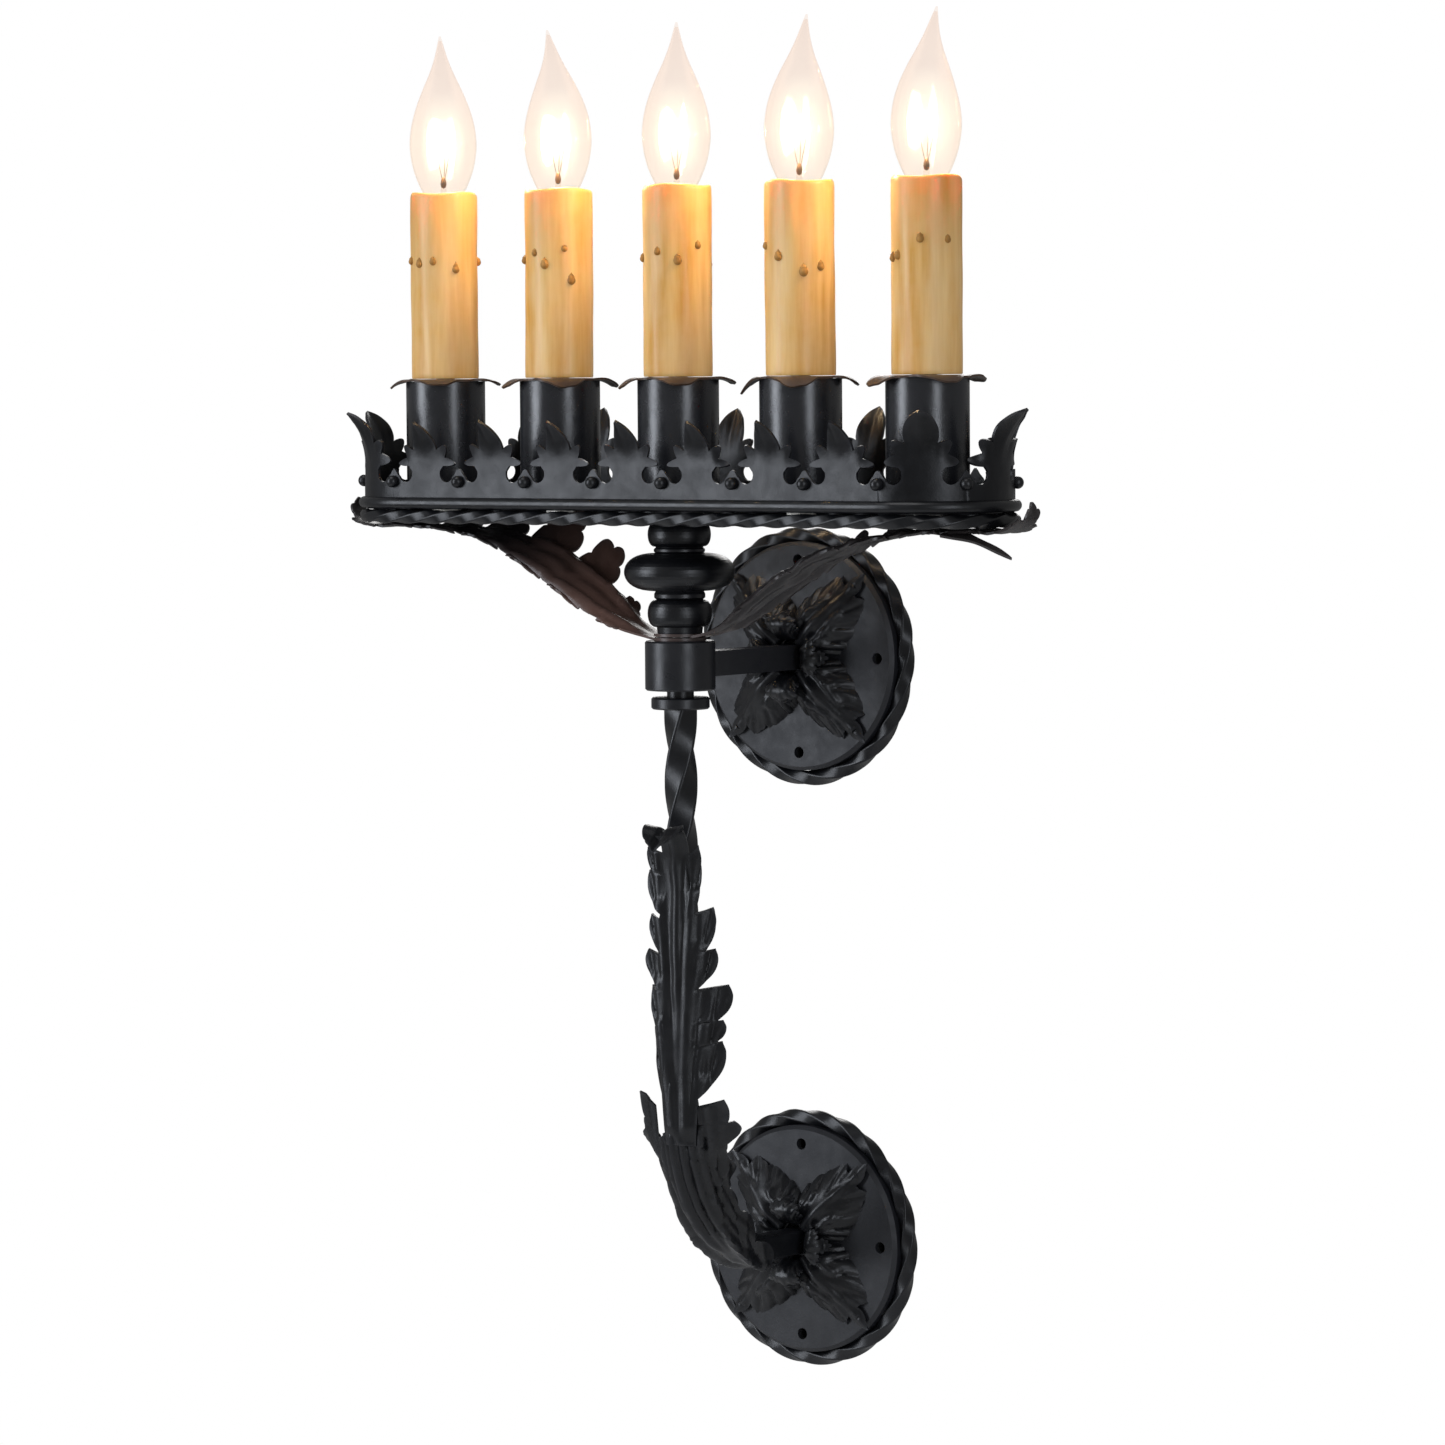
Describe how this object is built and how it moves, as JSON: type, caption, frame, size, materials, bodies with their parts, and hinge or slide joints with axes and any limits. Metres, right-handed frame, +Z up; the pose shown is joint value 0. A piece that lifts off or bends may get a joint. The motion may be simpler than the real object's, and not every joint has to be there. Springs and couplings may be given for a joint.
{
  "type": "wall sconce",
  "caption": "Wrought iron electric wall sconce: candle lamps in a long crowned tray, on a turned column, square arm and twisted post with two round wall plates.",
  "frame": {"origin": "centre of the upper wall plate, in the plane of the wall", "axes": "+Y into the wall, +Z up, X along the tray; the sconce stands out along -Y"},
  "size_m": [0.4222, 0.1675, 0.6953],
  "materials": {
    "black_iron": "satin black powder coat on wrought iron",
    "bronzed_iron": "thin black sheet, browned",
    "zinc_steel": "zinc plated",
    "wire_insulation": "matte",
    "black_phenolic": "moulded phenolic",
    "candle_wax": "beeswax coated sleeve, soft sheen",
    "lamp_brass": "rolled brass",
    "lamp_glass": "clear, lit"
  },
  "bodies": {
    "frame": {"upper_backplate": "black_iron", "upper_rope_rim": "black_iron", "upper_rosette": "black_iron", "lower_backplate": "black_iron", "lower_rope_rim": "black_iron", "lower_rosette": "black_iron", "arm_tube": "black_iron", "arm_nipple": "zinc_steel", "hub": "black_iron", "hub_set_screw": "zinc_steel", "column_nipple": "zinc_steel", "column_lower_bead": "black_iron", "column_saucer": "black_iron", "column_upper_bead": "black_iron", "left_leaf_arm": "black_iron", "right_leaf_arm": "black_iron", "post_flange": "black_iron", "twisted_post": "black_iron", "post_leaf": "black_iron", "bend_leaf": "black_iron", "tray_floor": "black_iron", "crown_band": "black_iron", "crown_beads": "black_iron", "tray_moulding": "black_iron", "tray_rope": "black_iron", "socket_stems": "zinc_steel", "lock_nuts": "zinc_steel", "wiring": "wire_insulation", "cup_1": "black_iron", "cup_2": "black_iron", "cup_3": "black_iron", "cup_4": "black_iron", "cup_5": "black_iron", "bobeche_1": "bronzed_iron", "bobeche_2": "bronzed_iron", "bobeche_3": "bronzed_iron", "bobeche_4": "bronzed_iron", "bobeche_5": "bronzed_iron", "socket_1": "black_phenolic", "socket_2": "black_phenolic", "socket_3": "black_phenolic", "socket_4": "black_phenolic", "socket_5": "black_phenolic"},
    "bulb_1": {"bulb_base_1": "lamp_brass", "bulb_glass_1": "lamp_glass"},
    "cover_1": {"candle_cover_1": "candle_wax"},
    "bulb_2": {"bulb_base_2": "lamp_brass", "bulb_glass_2": "lamp_glass"},
    "cover_2": {"candle_cover_2": "candle_wax"},
    "bulb_3": {"bulb_base_3": "lamp_brass", "bulb_glass_3": "lamp_glass"},
    "cover_3": {"candle_cover_3": "candle_wax"},
    "bulb_4": {"bulb_base_4": "lamp_brass", "bulb_glass_4": "lamp_glass"},
    "cover_4": {"candle_cover_4": "candle_wax"},
    "bulb_5": {"bulb_base_5": "lamp_brass", "bulb_glass_5": "lamp_glass"},
    "cover_5": {"candle_cover_5": "candle_wax"}
  },
  "joints": [
    {"name": "bulb_1_lift", "type": "slide", "parent": "frame", "child": "bulb_1", "axis": [0, 0, 1], "range_m": [0, 0.115]},
    {"name": "cover_1_lift", "type": "slide", "parent": "frame", "child": "cover_1", "axis": [0, 0, 1], "range_m": [0, 0.115]},
    {"name": "bulb_2_lift", "type": "slide", "parent": "frame", "child": "bulb_2", "axis": [0, 0, 1], "range_m": [0, 0.115]},
    {"name": "cover_2_lift", "type": "slide", "parent": "frame", "child": "cover_2", "axis": [0, 0, 1], "range_m": [0, 0.115]},
    {"name": "bulb_3_lift", "type": "slide", "parent": "frame", "child": "bulb_3", "axis": [0, 0, 1], "range_m": [0, 0.115]},
    {"name": "cover_3_lift", "type": "slide", "parent": "frame", "child": "cover_3", "axis": [0, 0, 1], "range_m": [0, 0.115]},
    {"name": "bulb_4_lift", "type": "slide", "parent": "frame", "child": "bulb_4", "axis": [0, 0, 1], "range_m": [0, 0.115]},
    {"name": "cover_4_lift", "type": "slide", "parent": "frame", "child": "cover_4", "axis": [0, 0, 1], "range_m": [0, 0.115]},
    {"name": "bulb_5_lift", "type": "slide", "parent": "frame", "child": "bulb_5", "axis": [0, 0, 1], "range_m": [0, 0.115]},
    {"name": "cover_5_lift", "type": "slide", "parent": "frame", "child": "cover_5", "axis": [0, 0, 1], "range_m": [0, 0.115]}
  ],
  "couplings": [
    {"joint": "cover_1_lift", "follows": "bulb_1_lift", "ratio": 1},
    {"joint": "cover_2_lift", "follows": "bulb_2_lift", "ratio": 1},
    {"joint": "cover_3_lift", "follows": "bulb_3_lift", "ratio": 1},
    {"joint": "cover_4_lift", "follows": "bulb_4_lift", "ratio": 1},
    {"joint": "cover_5_lift", "follows": "bulb_5_lift", "ratio": 1}
  ]
}
